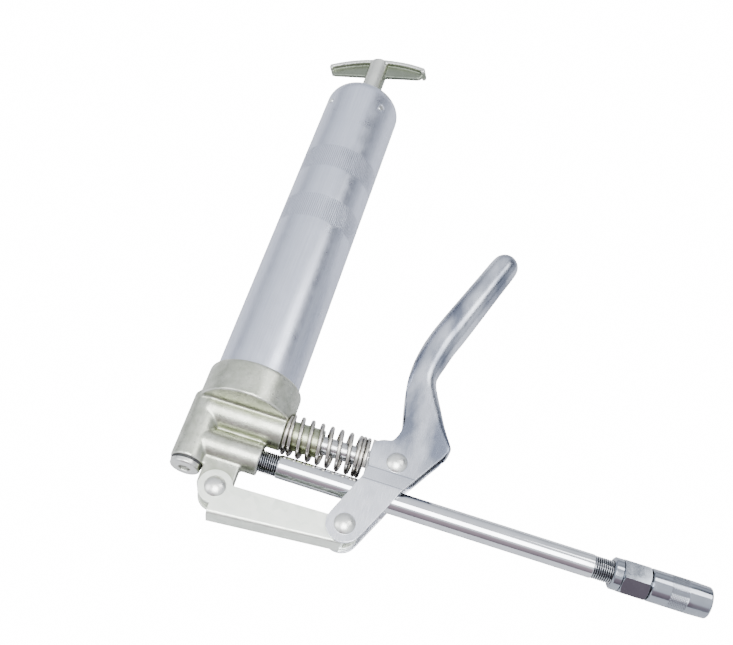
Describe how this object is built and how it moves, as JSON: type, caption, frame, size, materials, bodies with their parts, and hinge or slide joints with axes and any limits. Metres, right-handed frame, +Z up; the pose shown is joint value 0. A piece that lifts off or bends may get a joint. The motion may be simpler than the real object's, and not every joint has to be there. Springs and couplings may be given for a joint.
{
  "type": "grease gun",
  "caption": "Hand grease gun: slim barrel screwed into a cast pump head, return spring, link and pressed lever, rigid spout with a grease-fitting coupler, and a T-handle follower rod.",
  "frame": {"origin": "centre of the object's box at floor level, with the gun lying on its side", "axes": "+Y along the barrel from the pump head to the T-handle, +X along the spout to the coupler's mouth, +Z up, square to the plane in which the lever swings"},
  "size_m": [0.239, 0.274, 0.0426],
  "materials": {
    "zinc_casting": "satin cast",
    "barrel_metal": "fine brushed",
    "chrome": "polished plate",
    "plated_sheet": "plated, lightly brushed",
    "galvanised_sheet": "galvanised",
    "spring_wire": "drawn bright",
    "rivet_steel": "bright zinc plate",
    "ground_steel": "ground",
    "screw_steel": "bright zinc plate",
    "rubber": "matt"
  },
  "bodies": {
    "head": {"pump_head": "zinc_casting", "plug_seal": "rubber", "column_plug": "screw_steel", "check_spring": "spring_wire", "spout_pipe": "chrome", "coupler_body": "chrome", "coupler_seal": "rubber", "coupler_spring": "spring_wire", "return_spring": "spring_wire"},
    "link": {"link_arm": "galvanised_sheet", "link_pin": "rivet_steel"},
    "lever": {"lever": "plated_sheet", "lever_pin": "rivet_steel", "rod_pin": "rivet_steel"},
    "piston": {"piston_rod": "ground_steel"},
    "valve": {"check_ball": "ground_steel"},
    "gasket": {"barrel_gasket": "rubber"},
    "barrel": {"barrel_tube": "barrel_metal", "rod_guide": "galvanised_sheet", "end_stakes": "rivet_steel", "follower_spring": "spring_wire"},
    "follower": {"follower_cup": "rubber", "follower_plate": "galvanised_sheet"},
    "pull_rod": {"follower_rod": "ground_steel", "follower_nut": "screw_steel", "t_handle": "zinc_casting"},
    "coupler": {"coupler_sleeve": "chrome", "coupler_jaws": "ground_steel"}
  },
  "joints": [
    {"name": "link_swing", "type": "hinge", "parent": "head", "child": "link", "pos_m": [-0.09268, -0.1248, 0.0213], "axis": [0, 0, 1], "range_deg": [-3.19, 0]},
    {"name": "lever_squeeze", "type": "hinge", "parent": "link", "child": "lever", "pos_m": [-0.03678, -0.1239, 0.0213], "axis": [0, 0, 1], "range_deg": [0, 24.8]},
    {"name": "piston_stroke", "type": "slide", "parent": "head", "child": "piston", "axis": [-1, 0, 0], "range_m": [0, 0.01332], "stiffness_N_per_m": 1500, "springref_m": -0.01, "deforming": ["return_spring"]},
    {"name": "valve_lift", "type": "slide", "parent": "head", "child": "valve", "axis": [0, -1, 0], "range_m": [0, 0.0015], "stiffness_N_per_m": 150, "springref_m": -0.003, "deforming": ["check_spring"]},
    {"name": "barrel_travel", "type": "slide", "parent": "head", "child": "gasket", "axis": [0, 1, 0], "range_m": [0, 0.009]},
    {"name": "barrel_unscrew", "type": "hinge", "parent": "gasket", "child": "barrel", "pos_m": [-0.09268, -0.0778, 0.0213], "axis": [0, 1, 0], "range_deg": [0, 2160]},
    {"name": "follower_travel", "type": "slide", "parent": "barrel", "child": "follower", "axis": [0, 1, 0], "range_m": [0, 0.13], "stiffness_N_per_m": 60, "springref_m": -0.12, "deforming": ["follower_spring"]},
    {"name": "handle_turn", "type": "hinge", "parent": "follower", "child": "pull_rod", "pos_m": [-0.09268, 0.0942, 0.0213], "axis": [0, 1, 0], "continuous": true},
    {"name": "coupler_turn", "type": "hinge", "parent": "head", "child": "coupler", "pos_m": [0.10232, -0.1058, 0.0213], "axis": [1, 0, 0], "range_deg": [-180, 180]}
  ],
  "couplings": [
    {"joint": "link_swing", "follows": "lever_squeeze", "ratio": -0.12838},
    {"joint": "piston_stroke", "follows": "lever_squeeze", "m_per_rad": 0.030744},
    {"joint": "barrel_travel", "follows": "barrel_unscrew", "m_per_rad": 0.00023873}
  ]
}
